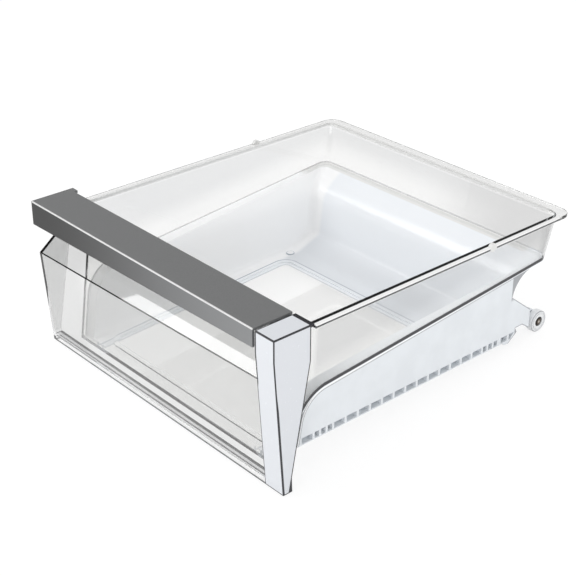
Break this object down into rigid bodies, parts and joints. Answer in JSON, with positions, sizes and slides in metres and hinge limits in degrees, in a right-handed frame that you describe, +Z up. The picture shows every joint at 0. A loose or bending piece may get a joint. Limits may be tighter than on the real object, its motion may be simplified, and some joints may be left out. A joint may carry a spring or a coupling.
{
  "type": "fridge crisper drawer",
  "caption": "Clear tapered fridge drawer with a stepped bin, clear front panel, grey handle trim, white end cap and white side rails that run on rear rollers.",
  "frame": {"origin": "midway between the two rails' running faces, at the rails' front ends; X is measured from the bin's middle", "axes": "+X to the drawer's right, +Y to the back of the drawer, the way it is pushed in, +Z up"},
  "size_m": [0.431, 0.4495, 0.19],
  "materials": {
    "clear_bin": "clear and glossy, frosted below the ledge",
    "clear_panel": "clear, glossy",
    "grey_trim": "fine satin grey",
    "white_cap": "satin white",
    "white_rail": "satin white",
    "white_roller": "smooth white",
    "pin_steel": "plain steel"
  },
  "bodies": {
    "drawer": {"bin": "clear_bin", "front_panel": "clear_panel", "handle_trim": "grey_trim", "right_end_cap": "white_cap", "left_rail": "white_rail", "right_rail": "white_rail", "left_axle_pin": "pin_steel", "right_axle_pin": "pin_steel"},
    "left_roller": {"left_roller": "white_roller"},
    "right_roller": {"right_roller": "white_roller"}
  },
  "joints": [
    {"name": "left_roller_spin", "type": "hinge", "parent": "drawer", "child": "left_roller", "pos_m": [-0.1839, 0.3805, 0.0073], "axis": [1, 0, 0], "continuous": true},
    {"name": "right_roller_spin", "type": "hinge", "parent": "drawer", "child": "right_roller", "pos_m": [0.1839, 0.3805, 0.0073], "axis": [1, 0, 0], "continuous": true}
  ]
}
